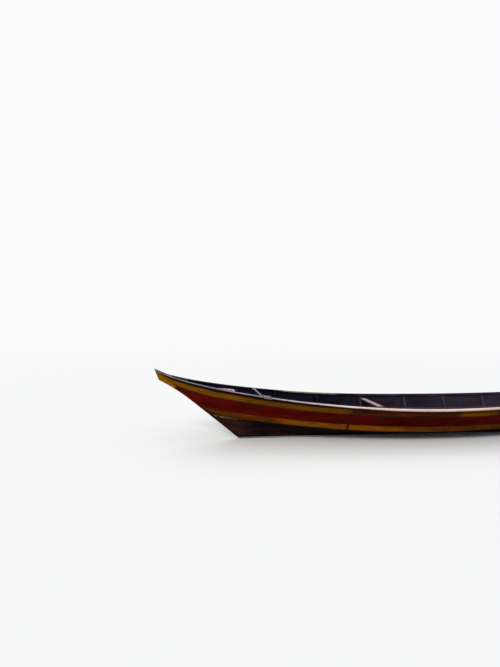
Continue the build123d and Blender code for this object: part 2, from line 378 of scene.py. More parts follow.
def mesh_arrays(names):
    """Corners of all triangles of some nodes, as one array."""
    found = []
    for name in names:
        mesh = nodes[name].data
        mesh.calc_loop_triangles()
        points = np.zeros(len(mesh.vertices) * 3)
        mesh.vertices.foreach_get("co", points)
        corners = np.zeros(len(mesh.loop_triangles) * 3, int)
        mesh.loop_triangles.foreach_get("vertices", corners)
        found.append(points.reshape(-1, 3)[corners].reshape(-1, 3, 3))
    return np.concatenate(found)


def slice_at(triangles, x):
    """Points (y, z) where the triangles' edges cross the plane at x."""
    met = []
    for a, b in ((0, 1), (1, 2), (2, 0)):
        start, end = triangles[:, a], triangles[:, b]
        crossing = (start[:, 0] - x) * (end[:, 0] - x) < 0
        start, end = start[crossing], end[crossing]
        share = (x - start[:, 0]) / (end[:, 0] - start[:, 0])
        met.append((start + (end - start) * share[:, None])[:, 1:])
    return np.concatenate(met)


def plank_corners(points):
    """Outer lower and outer upper corner of a plank's cut on the port side."""
    middle = points.mean(0)
    along = np.linalg.svd(points - middle, full_matrices=False)[2][0]
    if along[1] < 0:
        along = -along
    out = np.array((along[1], -along[0]))
    run, side = (points - middle) @ along, (points - middle) @ out
    low, high = run < run.min() + CORNER_DEPTH, run > run.max() - CORNER_DEPTH
    return points[low][side[low].argmax()], points[high][side[high].argmax()]


def rail_corners(points):
    """Outer lower and outer upper corner of a rail's cut on the port side."""
    out, up = points[:, 0], points[:, 1]
    return points[(out - up).argmax()], points[(out + 0.4 * up).argmax()]


def measure(piece, corners_of):
    """Outer edges of a strake or rail along its length, read from its nodes on the port side."""
    names = [name for name in nodes if name.startswith(piece) and name.endswith("port")]
    triangles = mesh_arrays(names)
    along = triangles[:, :, 0]
    xs = np.linspace(along.min() + SLICE_MARGIN, along.max() - SLICE_MARGIN, SLICES)
    corners = [corners_of(slice_at(triangles, x)) for x in xs]
    return Edges(xs, np.array([low for low, _ in corners]), np.array([high for _, high in corners]))


HULL = {strake: measure(strake, plank_corners) for strake in STRAKES}
HULL.update({rail: measure(rail, rail_corners) for rail in RAILS})


def edge_at(piece, x, upper):
    """Point on the lower or upper outer edge of a port strake or rail."""
    line = HULL[piece].high if upper else HULL[piece].low
    return Vector((x, *(np.interp(x, HULL[piece].xs, line[:, axis]) for axis in (0, 1))))


def across_at(piece, x, share):
    """Point on a port strake or rail, at a share of the way from its lower to its upper edge."""
    return edge_at(piece, x, False).lerp(edge_at(piece, x, True), share)


def height_curve(tree, along, piece, upper):
    """Height of an edge over the boat's length, as a curve that a material can read."""
    line = (HULL[piece].high if upper else HULL[piece].low)[:, 1]
    xs = HULL[piece].xs
    curve = add_node(tree, "FloatCurve", {"Value": ramp_linear(tree, along, xs[0], xs[-1])})
    points = curve.mapping.curves[0].points
    low, high = line.min(), line.max()
    shares = np.linspace(0, 1, CURVE_POINTS)
    heights = (np.interp(xs[0] + shares * (xs[-1] - xs[0]), xs, line) - low) / (high - low)
    points[0].location = (0, heights[0])
    points[1].location = (1, heights[-1])
    for share, height in list(zip(shares, heights))[1:-1]:
        points.new(share, height)
    curve.mapping.update()
    return plus(tree, times(tree, curve.outputs[0], high - low), low)


class Surface:
    """A material in the making, with the place and the facing of each point that it covers."""

    def __init__(self, name, turned=False):
        self.material = bpy.data.materials.new(name)
        self.material.use_nodes = True
        self.tree = self.material.node_tree
        self.shader = self.tree.nodes["Principled BSDF"]
        self.place = add_node(self.tree, "TexCoord").outputs["Object"]
        self.x, self.y, self.z = add_node(self.tree, "SeparateXYZ", {0: self.place}).outputs
        self.normal = add_node(self.tree, "NewGeometry").outputs["Normal"]
        # The grain runs along X of this, which is turned on timber that lies across the boat
        quarter = {"Vector": self.place, "Rotation": (0, 0, math.pi / 2)}
        self.run = add_node(self.tree, "Mapping", quarter).outputs[0] if turned else self.place

    def cloud(self, scale, detail=3.0, rough=0.55, by=None):
        """Noise over the piece, squeezed along each axis by the three factors."""
        place = self.place if by is None else stretch(self.tree, self.place, by)
        return noise(self.tree, place, scale, detail, rough)

    def grain(self, along=0.9, across=16.0):
        return place_group(self.tree, GRAIN, {"Place": self.run, "Along": along, "Across": across})

    def wear(self, grain, edge, amount):
        values = {"Place": self.place, "Grain": grain["Grain"], "Edge": edge, "Amount": amount}
        return place_group(self.tree, WEAR, values)

    def streaks(self, amount):
        return place_group(self.tree, STREAKS, {"Place": self.place, "Amount": amount})["Streaks"]

    def mud(self, height, spread):
        values = {"Place": self.place, "Level": GROUND + height, "Spread": spread}
        return place_group(self.tree, SPLASH, values)["Mud"]

    def faces(self, direction, low, high):
        """Share of the surface that faces a direction."""
        dot = add_node(self.tree, "VectorMath", {0: self.normal, 1: direction}, operation="DOT_PRODUCT")
        return ramp(self.tree, dot.outputs["Value"], low, high)

    def finish(self, colour, roughness, height, depth):
        bump = add_node(self.tree, "Bump", {"Height": height, "Strength": 1.0, "Distance": depth})
        wire(self.tree, self.shader, {
            "Base Color": colour, "Roughness": roughness, "Normal": bump.outputs[0],
            "Specular IOR Level": GLOSS})
        return self.material


def outside_share(surface):
    """1 on a plank's outer face, 0 inside: the outer faces look away from the keel and down."""
    tree = surface.tree
    normal = add_node(tree, "SeparateXYZ", {0: surface.normal}).outputs
    aside = times(tree, normal[1], calc(tree, "SIGN", surface.y))
    return ramp(tree, add_up(tree, (aside, 0.7), (normal[2], -0.7)), 0.10, 0.20)


def piece_share(surface, piece):
    """Place across a strake or rail, 0 at its lower and 1 at its upper edge."""
    tree = surface.tree
    low = height_curve(tree, surface.x, piece, False)
    high = height_curve(tree, surface.x, piece, True)
    return calc(tree, "DIVIDE", minus(tree, surface.z, low), minus(tree, high, low))


def inside_colour(surface, grain, wear, bare_share):
    """Old dark paint: navy towards the bow, plum amidships, dusty low down."""
    tree = surface.tree
    towards_bow = ramp(tree, surface.x, -0.2, 1.8)
    colour = mix(tree, towards_bow, PLUM, NAVY)
    colour = mix(tree, ramp(tree, surface.x, -0.2, -1.8, 0.0, 0.45), colour, PLUM_FADED)
    patches = ramp(tree, surface.cloud(2.6, 5.0, 0.6, (0.6, 1.0, 2.0)), 0.40, 0.70)
    rubbed = minus(tree, 1.0, times(tree, towards_bow, 0.75))
    colour = mix(tree, times(tree, patches, 0.35, rubbed), colour, PLUM_FADED)
    colour = mix(tree, times(tree, wear["Chalky"], 0.4, rubbed), colour, PLUM_FADED)
    wood = mix(tree, grain["Grain"], OLD_WOOD_DARK, OLD_WOOD)
    colour = mix(tree, times(tree, wear["Bare"], bare_share), colour, wood)
    colour = mix(tree, times(tree, grain["Grain"], 0.45), colour, GRIME_AND_SHADE)
    return mix(tree, times(tree, surface.mud(*INSIDE_MUD), 0.55), colour, MUD)


# A paint's four tones and how much of it is worn off. It is freshest at best_at along the boat and
# dullest from reach away; aft is how much duller it is again abaft amidships.
Paint = namedtuple("Paint", "fresh warm deep faded amount best_at reach aft")
PAINTS = {
    "sheer_strake": Paint(OCHRE, OCHRE_WARM, OCHRE_DEEP, OCHRE_FADED, 0.26, 4.9, 2.2, 0.0),
    "middle_strake": Paint(RED, RED_WARM, RED_DEEP, RED_FADED, 0.24, 4.6, 3.4, -0.14),
    "lower_strake": Paint(ORANGE, ORANGE_WARM, ORANGE_DEEP, ORANGE_FADED, 0.26, 2.05, 2.0, 0.15),
    "bilge_strake": Paint(TAR_WORN, TAR_WORN, TAR_DEEP, TAR_WORN, 0.27, 4.6, 1.8, 0.0),
    "garboard": Paint(TAR_WORN, TAR_WORN, TAR_DEEP, TAR_WORN, 0.27, 4.4, 1.6, 0.0),
}


def paint_film(surface, paint, grain, wear, long_patches):
    """A strake's paint where it holds: its tones along the boat, chalk and brush marks."""
    tree = surface.tree
    away = distance(tree, surface.x, paint.best_at)
    drift = ramp(tree, surface.cloud(3.1, 3.0, 0.5, (1.0, 1.0, 2.0)), 0.42, 0.60)
    fresh = mix(tree, times(tree, drift, 0.8), paint.fresh, paint.warm)
    score = add_up(tree, (long_patches, 1.3), (ramp(tree, away, 0.3 * paint.reach, paint.reach), 0.30),
                   (ramp(tree, surface.x, 0.2, -0.5), paint.aft))
    colour = mix(tree, ramp(tree, score, 0.60, 0.98), fresh, paint.deep)
    colour = mix(tree, times(tree, wear["Chalky"], 0.40), colour, paint.faded)
    brushed = ramp(tree, surface.cloud(3.6, 4.0, 0.6, (1.0, 2.0, 12.0)), 0.46, 0.66, 0.0, 0.55)
    colour = mix(tree, brushed, colour, paint.deep)
    return mix(tree, times(tree, grain["Grain"], 0.30), colour, paint.deep)


def bare_patches(surface, share, wear, bare_spans):
    """Where the wood shows: at chips, and over whole stretches but for scraps of paint low down."""
    tree = surface.tree
    bare = times(tree, wear["Bare"], 0.8)
    for bare_from, bare_to in bare_spans:
        at = plus(tree, surface.x, swing(tree, surface.cloud(3.0, 5.0, 0.6), 0.5))
        scraps = ramp(tree, surface.cloud(5.0, 6.0, 0.7, (0.4, 2.0, 2.4)), 0.50, 0.62)
        scraps = times(tree, scraps, ramp(tree, share, 0.75, 0.35), 0.28)
        gone = times(tree, between(tree, at, bare_from, bare_to, 0.10), minus(tree, 1.0, scraps))
        bare = calc(tree, "MAXIMUM", bare, gone)
    return bare


def strake_paint(strake, bare_spans=()):
    """Painted plank: its colour outside, dark inside, worn at the seams, painted shadow under the rail
    and painted shade at lower edges.
    """
    paint = PAINTS[strake]
    surface = Surface(strake)
    tree = surface.tree
    grain = surface.grain()
    share = piece_share(surface, strake)
    rim = calc(tree, "MINIMUM", share, minus(tree, 1.0, share))
    wear = surface.wear(grain, ramp(tree, rim, 0.0, 0.10, 1.0, 0.0), paint.amount)
    long_patches = surface.cloud(2.4, 5.0, 0.62, (0.45, 1.0, 3.2))
    bare = bare_patches(surface, share, wear, bare_spans)
    wood = mix(tree, grain["Grain"], OLD_WOOD, OLD_WOOD_DARK)
    colour = mix(tree, bare, paint_film(surface, paint, grain, wear, long_patches), wood)
    # Painted shadow under the rail: the sheer strake turns dark towards its upper edge, raggedly, and a
    # little further down towards the bow
    if strake == "sheer_strake":
        dirt_and_shade = add_up(tree, (share, 1.0), (minus(tree, long_patches, 0.5), 0.25),
                        (ramp(tree, surface.x, 1.4, 2.2), 0.07))
        colour = mix(tree, ramp(tree, dirt_and_shade, 0.60, 0.74, 0.0, 0.95), colour, GRIME_AND_SHADE)
    if strake == "bilge_strake":
        broken = ramp(tree, surface.cloud(6.0, 4.0, 0.6, (1.0, 2.0, 2.0)), 0.36, 0.50)
        rubbed = times(tree, ramp(tree, share, 0.74, 0.84), ramp(tree, surface.x, 3.55, 3.9))
        colour = mix(tree, times(tree, rubbed, broken, 0.45), colour, CHINE)
    colour = mix(tree, times(tree, surface.streaks(0.02), 0.40), colour, GRIME_AND_SHADE)
    colour = mix(tree, ramp(tree, rim, 0.0, 0.03, 0.5, 0.0), colour, GRIME_AND_SHADE)
    # Painted shade along the lower edge of the sheer and lower strakes
    if strake in ("sheer_strake", "lower_strake"):
        colour = mix(tree, ramp(tree, share, 0.02, 0.22, 0.45, 0.0), colour, GRIME_AND_SHADE)
    if strake == "lower_strake":
        aside = distance(tree, surface.x, DARK_BAND_AT)
        colour = mix(tree, ramp(tree, aside, *DARK_BAND_FADES, 0.75, 0.0), colour, GRIME_AND_SHADE)
    colour = mix(tree, times(tree, grain["Cracks"], 0.7), colour, GRIME_AND_SHADE)
    colour = mix(tree, times(tree, surface.mud(*OUTSIDE_MUD), 0.35), colour, MUD)

    inside = inside_colour(surface, grain, surface.wear(grain, 0.0, 0.30), 0.4)
    colour = mix(tree, outside_share(surface), inside, colour)
    colour = mix(tree, times(tree, surface.faces((0, 0, 1), 0.75, 0.9), 0.8), colour, TAR_WORN)
    roughness = add_up(tree, (bare, 0.15), (wear["Chalky"], 0.10), (long_patches, 0.20), (1.0, 0.60))
    height = add_up(tree, (wear["Film"], 0.35), (grain["Grain"], -0.35), (grain["Fibres"], 0.15),
                    (grain["Cracks"], -1.2), (surface.cloud(3.5, 2.0), 1.6))
    return surface.finish(colour, roughness, height, TIMBER_RELIEF)


def rail_timber(rail, light_fore, light_aft, dark, lit_share, lit_at_bow):
    """Bare rail: pale on top and on its side from lit_share up, with painted shade on its side below.
    At the bow that height is moved by lit_at_bow."""
    surface = Surface(rail.replace("_", " "))
    tree = surface.tree
    grain = surface.grain(0.8, 18.0)
    tone = surface.cloud(2.4, 5.0, 0.6, (0.5, 2.0, 2.0))
    light = mix(tree, ramp(tree, surface.x, 3.4, 2.6), light_fore, light_aft)
    colour = mix(tree, ramp(tree, tone, 0.42, 0.72, 0.0, 0.6), light, dark)
    colour = mix(tree, times(tree, grain["Grain"], 0.4), colour, dark)
    stains = ramp(tree, surface.cloud(7.0, 6.0, 0.7), 0.60, 0.72)
    colour = mix(tree, times(tree, stains, 0.35), colour, GRIME_AND_SHADE)
    # Painted shade on the rail's side below a ragged height, set by lit_share and moved at the bow by
    # lit_at_bow
    height_on_rail = add_up(tree, (piece_share(surface, rail), 1.0), (swing(tree, tone, 0.5), 1.0),
                            (ramp(tree, surface.x, 2.2, 4.6), lit_at_bow))
    dirt_and_shade = ramp(tree, height_on_rail, lit_share + 0.15, lit_share - 0.15)
    side = minus(tree, 1.0, surface.faces((0, 0, 1), 0.6, 0.85))
    colour = mix(tree, times(tree, dirt_and_shade, side, 0.94), colour, GRIME_AND_SHADE)
    colour = mix(tree, times(tree, grain["Cracks"], 0.8), colour, GRIME_AND_SHADE)
    roughness = add_up(tree, (tone, 0.2), (grain["Grain"], 0.1), (1.0, 0.66))
    height = add_up(tree, (grain["Grain"], -0.9), (grain["Fibres"], 0.4), (grain["Cracks"], -1.6))
    return surface.finish(colour, roughness, height, TIMBER_RELIEF)


def bare_timber(name, light, dark, turned=False, crown=None):
    """Weathered timber, darker on faces that look down; a crown is the middle and half width of a strip
    that stays pale while the rest darkens.
    """
    surface = Surface(name, turned)
    tree = surface.tree
    grain = surface.grain(0.8, 18.0)
    tone = surface.cloud(1.6, 5.0, 0.6)
    colour = mix(tree, grain["Grain"], light, dark)
    colour = mix(tree, ramp(tree, tone, 0.42, 0.72, 0.0, 0.65), colour, dark)
    long_way = stretch(tree, surface.run, (0.6, 4.0, 4.0))
    fresh = ramp(tree, noise(tree, long_way, 4.0, 4.0, 0.6), 0.52, 0.66)
    palest = tuple(min(1.0, 1.3 * part) for part in light)
    colour = mix(tree, times(tree, fresh, 0.35), colour, palest)
    stains = ramp(tree, surface.cloud(6.5, 6.0, 0.7), 0.60, 0.72)
    colour = mix(tree, times(tree, stains, 0.5), colour, GRIME_AND_SHADE)
    # Darker outside the crown's strip
    if crown is not None:
        middle, half = crown
        aside = distance(tree, surface.x, middle)
        colour = mix(tree, ramp(tree, aside, half * 0.8, half * 1.2, 0.0, 0.9), colour, GRIME_AND_SHADE)
    # Painted shade on the faces that look down
    colour = mix(tree, times(tree, surface.faces((0, 0, -1), 0.3, 0.8), 0.5), colour, GRIME_AND_SHADE)
    colour = mix(tree, times(tree, grain["Cracks"], 0.85), colour, GRIME_AND_SHADE)
    roughness = add_up(tree, (tone, 0.2), (grain["Grain"], 0.1), (1.0, 0.62))
    height = add_up(tree, (grain["Grain"], -0.9), (grain["Fibres"], 0.4), (grain["Cracks"], -1.6),
                    (surface.cloud(5.0, 2.0), 1.0))
    return surface.finish(colour, roughness, height, WEATHERED_RELIEF)


def post_paint(name, sign):
    """Stem or sternpost: the planks' colours carried over it, rubbed along its cutting edge."""
    surface = Surface(name)
    tree = surface.tree
    grain = surface.grain(2.5, 14.0)
    colour = mix(tree, grain["Grain"], TAR_WORN, TAR)
    height = plus(tree, surface.z, swing(tree, surface.cloud(7.0, 4.0), 0.02))
    carried = {"bilge_strake": ORANGE_DEEP, "lower_strake": RED, "middle_strake": OCHRE}
    for below, paint in carried.items():
        level = edge_at(below, HULL[below].xs[-1 if sign > 0 else 0], True).z
        colour = mix(tree, ramp(tree, height, level - 0.004, level + 0.004), colour, paint)
    wear = surface.wear(grain, surface.faces((sign, 0, 0), 0.3, 0.6), 0.22)
    colour = mix(tree, times(tree, wear["Chalky"], 0.25), colour, OLD_WOOD)
    colour = mix(tree, times(tree, grain["Grain"], 0.3), colour, GRIME_AND_SHADE)
    colour = mix(tree, times(tree, wear["Bare"], 0.7), colour, OLD_WOOD)
    colour = mix(tree, times(tree, surface.faces((0, 0, 1), 0.6, 0.85), 0.9), colour, RAIL_LAVENDER)
    inner = surface.faces((-sign, 0, 0), 0.3, 0.6)
    colour = mix(tree, times(tree, inner, 0.9), colour, NAVY if sign > 0 else PLUM)
    roughness = add_up(tree, (wear["Bare"], 0.2), (grain["Grain"], 0.1), (1.0, 0.62))
    bumps = add_up(tree, (wear["Film"], 0.4), (grain["Grain"], -0.5), (grain["Cracks"], -1.2))
    return surface.finish(colour, roughness, bumps, TIMBER_RELIEF)


def inside_paint(name, amount, turned=False, worn=PLUM_FADED, rubbed_span=None):
    """The inside's dark paint. A rubbed span is where the starboard upper edge is pale, as two x."""
    surface = Surface(name, turned)
    tree = surface.tree
    grain = surface.grain(1.2, 17.0)
    wear = surface.wear(grain, surface.faces((0, 0, 1), 0.5, 0.9), amount)
    colour = inside_colour(surface, grain, wear, 0.15)
    chalk = times(tree, wear["Chalky"], ramp(tree, surface.x, 0.6, 1.8, 0.6, 0.08))
    colour = mix(tree, chalk, colour, worn)
    if rubbed_span is not None:
        under = minus(tree, height_curve(tree, surface.x, "sheer_strake", True), surface.z)
        ragged = times(tree, surface.cloud(4.0, 4.0), 0.02)
        rubbed = ramp(tree, plus(tree, under, ragged), *INWALE_RUBBED_DOWN, 1.0, 0.0)
        starboard = ramp(tree, surface.y, 0.1, -0.1)
        rubbed = times(tree, rubbed, starboard, between(tree, surface.x, *rubbed_span, 0.1))
        colour = mix(tree, rubbed, colour, RUBBED)
    colour = mix(tree, times(tree, grain["Cracks"], 0.8), colour, GRIME_AND_SHADE)
    roughness = add_up(tree, (wear["Bare"], 0.15), (wear["Chalky"], 0.10), (1.0, 0.65))
    height = add_up(tree, (wear["Film"], 0.35), (grain["Grain"], -0.5), (grain["Cracks"], -1.2))
    return surface.finish(colour, roughness, height, TIMBER_RELIEF)


def head_paint(name, light, dark, dark_from, dark_by):
    """Ochre block that closes a narrow end of the boat, bare on top near its tip and navy behind."""
    surface = Surface(name)
    tree = surface.tree
    grain = surface.grain()
    up = surface.faces((0, 0, 1), 0.5, 0.9)
    wear = surface.wear(grain, up, 0.24)
    colour = mix(tree, times(tree, wear["Chalky"], 0.5), OCHRE, OCHRE_DEEP)
    wood = mix(tree, grain["Grain"], light, dark)
    top = mix(tree, ramp(tree, surface.x, dark_from, dark_by), wood, NAVY)
    colour = mix(tree, times(tree, up, 0.9), colour, top)
    roughness = add_up(tree, (wear["Bare"], 0.15), (wear["Chalky"], 0.10), (1.0, 0.65))
    height = add_up(tree, (wear["Film"], 0.4), (grain["Grain"], -0.5), (grain["Cracks"], -1.0))
    return surface.finish(colour, roughness, height, TIMBER_RELIEF)


def iron(name):
    surface = Surface(name)
    tree = surface.tree
    rust = ramp(tree, surface.cloud(160.0, 4.0, 0.7), 0.4, 0.6)
    colour = mix(tree, rust, RUST_DARK, RUST)
    return surface.finish(colour, add_up(tree, (rust, 0.2), (1.0, 0.7)), rust, IRON_RELIEF)


def pitch(name):
    surface = Surface(name)
    tree = surface.tree
    lumps = surface.cloud(45.0, 4.0, 0.6)
    colour = mix(tree, ramp(tree, lumps, 0.4, 0.7, 0.0, 0.8), PITCH, TAR_WORN)
    return surface.finish(colour, add_up(tree, (lumps, 0.4), (1.0, 0.35)), lumps, PITCH_RELIEF)


def rope_fibre(name):
    surface = Surface(name)
    tree = surface.tree
    hairs = surface.cloud(260.0, 4.0, 0.7)
    dirt_and_shade = ramp(tree, surface.cloud(14.0, 4.0), 0.4, 0.7)
    colour = mix(tree, ramp(tree, hairs, 0.35, 0.65), ROPE_DARK, ROPE)
    colour = mix(tree, times(tree, dirt_and_shade, 0.5), colour, ROPE_DARK)
    return surface.finish(colour, add_up(tree, (hairs, 0.2), (1.0, 0.75)), hairs, ROPE_RELIEF)


def dress(name, material):
    slots = nodes[name].material_slots
    if not slots:
        nodes[name].data.materials.append(material)
    for slot in slots:
        slot.material = material


def dress_nodes():
    """Gives every node the material that is kept under the longest start of its name."""
    painted = {strake: strake_paint(strake) for strake in STRAKES if strake != "sheer_strake"}
    fore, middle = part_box("sheer_strake_fore_port")[0].x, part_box("sheer_strake_mid_port")[0].x
    worn = strake_paint("sheer_strake", [(middle - BARE_ABAFT, fore + BARE_AHEAD)])
    worn.name = "sheer strake amidships"
    aft = strake_paint("sheer_strake", [(-BEYOND, STERN_BARE_TO), (middle - BUTT_BARE, BEYOND)])
    aft.name = "sheer strake aft"
    bow_end, stern_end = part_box("prow_head")[1].x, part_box("stern_head")[0].x
    bow_top = [bow_end - reach for reach in BOW_TOP_BARE]
    stern_top = [stern_end + reach for reach in STERN_TOP_BARE]
    low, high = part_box("tie_bar")
    bar_crown = ((low.x + high.x) / 2, BAR_CROWN)
    low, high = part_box("fore_thwart")
    seat_crown = ((low.x + high.x) / 2 + SEAT_CROWN_AHEAD, (high.x - low.x) / 2 - SEAT_CROWN_MARGIN)
    looks = {
        "sheer_strake_fore": worn,
        "sheer_strake_mid": worn,
        "sheer_strake_aft": aft,
        "rail_fore": rail_timber(
            "rail_fore", RAIL_LAVENDER, RAIL_PINK, RAIL_LAVENDER_DARK, 0.40, -0.13),
        "rail_aft": rail_timber("rail_aft", RAIL_TAN, RAIL_TAN, RAIL_TAN_DARK, 0.32, 0.0),
        "inwale": inside_paint("inwale paint", 0.30, rubbed_span=INWALE_RUBBED),
        "keel_shoe": bare_timber("keel shoe wood", SHOE_WOOD, SHOE_WOOD_DARK),
        "keel": bare_timber("keel tar", TAR, TAR_DEEP),
        "stem": post_paint("stem", 1),
        "sternpost": post_paint("sternpost", -1),
        "prow_head": head_paint("head paint", RAIL_LAVENDER, RAIL_LAVENDER_DARK, *bow_top),
        "stern_head": head_paint("head paint aft", RAIL_TAN, RAIL_TAN_DARK, *stern_top),
        "frame": inside_paint("frame paint", 0.38, turned=True, worn=FRAME_WORN),
        "butt_blocks": inside_paint("block paint", 0.24),
        "thwart_cleats": inside_paint("cleat paint", 0.34),
        "tie_bar": bare_timber("tie bar wood", BAR_GREY, GREY_WOOD, True, bar_crown),
        "fore_thwart": bare_timber("fore thwart wood", SEAT_WOOD, SEAT_WOOD_DARK, True, seat_crown),
        "main_thwart": bare_timber("thwart wood", SEAT_WOOD, SEAT_WOOD_DARK, True),
        "stern_thwart": bare_timber("stern thwart wood", SEAT_WOOD, SEAT_WOOD_DARK, True),
        "bow_platform": bare_timber("bow platform wood", BLEACHED, BLEACHED_DARK, True),
        "stern_platform": bare_timber("stern platform wood", BLEACHED, BLEACHED_DARK, True),
        **painted,
    }
    for name in nodes:
        key = max((start for start in looks if name.startswith(start)), key=len)
        dress(name, looks[key])


def add_object(name, data):
    made = bpy.data.objects.new(name, data)
    bpy.context.scene.collection.objects.link(made)
    return made


def mesh_object(name, points, edges=(), faces=()):
    mesh = bpy.data.meshes.new(name)
    mesh.from_pydata([tuple(point) for point in points], edges, faces)
    return add_object(name, mesh)


def geometry_tree(name, inputs):
    shape = ("Geometry", "Geometry")
    return new_tree(name, "Geometry", [(*shape, None), *inputs], [shape])


def end_tree(tree, shape, material, end):
    """Sends a shape out of its tree as one flat-shaded mesh in its material."""
    solid = geo(tree, "RealizeInstances", {0: shape}).outputs[0]
    flat = geo(tree, "SetShadeSmooth", {0: solid, "Shade Smooth": False}).outputs[0]
    wire(tree, end, {0: geo(tree, "SetMaterial", {0: flat, "Material": material}).outputs[0]})


def grow(start, tree, values, name):
    """Runs a geometry tree on an object and keeps the result as a plain mesh."""
    modifier = start.modifiers.new(name, "NODES")
    modifier.node_group = tree
    for item in tree.interface.items_tree:
        if item.in_out == "INPUT" and item.name in values:
            modifier[item.identifier] = values[item.name]
    bpy.context.view_layer.update()
    seen = start.evaluated_get(bpy.context.evaluated_depsgraph_get())
    mesh = bpy.data.meshes.new_from_object(seen)
    start.modifiers.remove(modifier)
    bpy.data.objects.remove(start)
    mesh.name = name
    made = add_object(name, mesh)
    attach(made, "root")
    return made


def nail_tree():
    """Nail heads at points, turned along each point's "out" and of slightly different sizes."""
    tree, given, end = geometry_tree("nail heads", [
        ("Head Radius", "Float", 0.006), ("Head Height", "Float", 0.002), ("Spread", "Float", 0.2),
        ("Seed", "Int", 1), ("Iron", "Material", None)])
    top = times(tree, given["Head Radius"], HEAD_TOP)
    head = geo(tree, "MeshCone", {
        "Vertices": 8, "Radius Top": top, "Radius Bottom": given["Head Radius"],
        "Depth": given["Head Height"]}).outputs[0]
    spots = geo(tree, "MeshToPoints", {0: given["Geometry"]}).outputs[0]
    out = geo(tree, "InputNamedAttribute", {"Name": "out"}, data_type="FLOAT_VECTOR").outputs[0]
    turn = new_node(tree, "FunctionNodeAlignRotationToVector", {"Vector": out}, axis="Z").outputs[0]
    smallest, largest = minus(tree, 1.0, given["Spread"]), plus(tree, 1.0, given["Spread"])
    size = new_node(tree, "FunctionNodeRandomValue", {
        2: smallest, 3: largest, "Seed": given["Seed"]}, data_type="FLOAT").outputs[1]
    heads = geo(tree, "InstanceOnPoints", {
        "Points": spots, "Instance": head, "Rotation": turn, "Scale": size}).outputs[0]
    end_tree(tree, heads, given["Iron"], end)
    return tree


def bead_tree():
    """A seam's filling, pressed into the gap and uneven along its length."""
    tree, given, end = geometry_tree("seam beads", [
        ("Width", "Float", 0.005), ("Step", "Float", 0.04), ("Uneven", "Float", 0.4),
        ("Filling", "Material", None)])
    line = geo(tree, "MeshToCurve", {0: given["Geometry"]}).outputs[0]
    fine = geo(tree, "ResampleCurve", {
        "Curve": line, "Length": given["Step"]}, mode="LENGTH").outputs[0]
    lump = add_node(tree, "TexNoise", {"Scale": 7.0, "Detail": 2.0}).outputs[0]
    wide = times(tree, plus(tree, times(tree, lump, given["Uneven"]), 0.7), given["Width"])
    ring = geo(tree, "CurvePrimitiveCircle", {"Resolution": 6, "Radius": 0.5}).outputs[0]
    body = geo(tree, "CurveToMesh", {
        "Curve": fine, "Profile Curve": ring, "Scale": wide, "Fill Caps": True}).outputs[0]
    end_tree(tree, body, given["Filling"], end)
    return tree


def rope_tree():
    """Rope laid along a line of points, its corners rounded over the timber."""
    tree, given, end = geometry_tree("rope turns", [
        ("Thickness", "Float", 0.010), ("Corner", "Float", 0.008), ("Rope", "Material", None)])
    line = geo(tree, "MeshToCurve", {0: given["Geometry"]}).outputs[0]
    bent = geo(tree, "FilletCurve", {
        "Curve": line, "Radius": given["Corner"], "Count": 2,
        "Limit Radius": True}, mode="POLY").outputs[0]
    half = times(tree, given["Thickness"], 0.5)
    ring = geo(tree, "CurvePrimitiveCircle", {"Resolution": 7, "Radius": half}).outputs[0]
    body = geo(tree, "CurveToMesh", {
        "Curve": bent, "Profile Curve": ring, "Fill Caps": True}).outputs[0]
    end_tree(tree, body, given["Rope"], end)
    return tree


Spot = namedtuple("Spot", "at out")


def planks_tree():
    """Search tree over the planks and rails of the port side."""
    names = [name for name in nodes if name.endswith("_port") and not name.startswith("inwale")]
    points = [Vector(point) for point in mesh_arrays(names).reshape(-1, 3)]
    return BVHTree.FromPolygons(points, [(n, n + 1, n + 2) for n in range(0, len(points), 3)])


def on_planks(search, point):
    """Nearest spot on the planks and the direction out of them."""
    place, normal, _, _ = search.find_nearest(point)
    return Spot(place, normal)


def both_sides(spots):
    flip = Vector((1, -1, 1))
    return spots + [Spot(spot.at * flip, spot.out * flip) for spot in spots]


def frame_nails(search):
    """Nails through every strake into every frame."""
    spots = []
    for number in range(1, FRAME_COUNT + 1):
        low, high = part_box(f"frame_{number}")
        middle = (low.x + high.x) / 2
        for strake in STRAKES:
            xs = HULL[strake].xs
            if not xs[0] + FRAME_NAIL_MARGIN < middle < xs[-1] - FRAME_NAIL_MARGIN:
                continue
            for share, aside in FRAME_NAIL_SPOTS:
                x = middle + aside
                if edge_at(strake, x, True).z >= low.z + FRAME_NAIL_LOWEST:
                    spots.append(on_planks(search, across_at(strake, x, share)))
    return both_sides(spots)


def end_nails(search):
    """Rows where the planks end on the posts."""
    spots = []
    for end, inwards in ((-1, -1), (0, 1)):
        for strake in STRAKES:
            for share in END_NAIL_SHARES:
                for back in END_NAIL_BACK:
                    x = HULL[strake].xs[end] + inwards * back
                    spots.append(on_planks(search, across_at(strake, x, share)))
    return both_sides(spots)


def rail_nails(search):
    """Nails through the rails, staggered high and low."""
    spots = []
    joint, bow_end = (corner.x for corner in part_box("rail_fore_port"))
    first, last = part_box("rail_aft_port")[0].x + RAIL_NAIL_MARGIN, bow_end - RAIL_NAIL_MARGIN
    count = int((last - first) / RAIL_NAIL_STEP)
    for number in range(count + 1):
        x = first + number * (last - first) / count
        rail = "rail_fore" if x > joint else "rail_aft"
        spots.append(on_planks(search, across_at(rail, x, RAIL_NAIL_SHARES[number % 2])))
    return both_sides(spots)


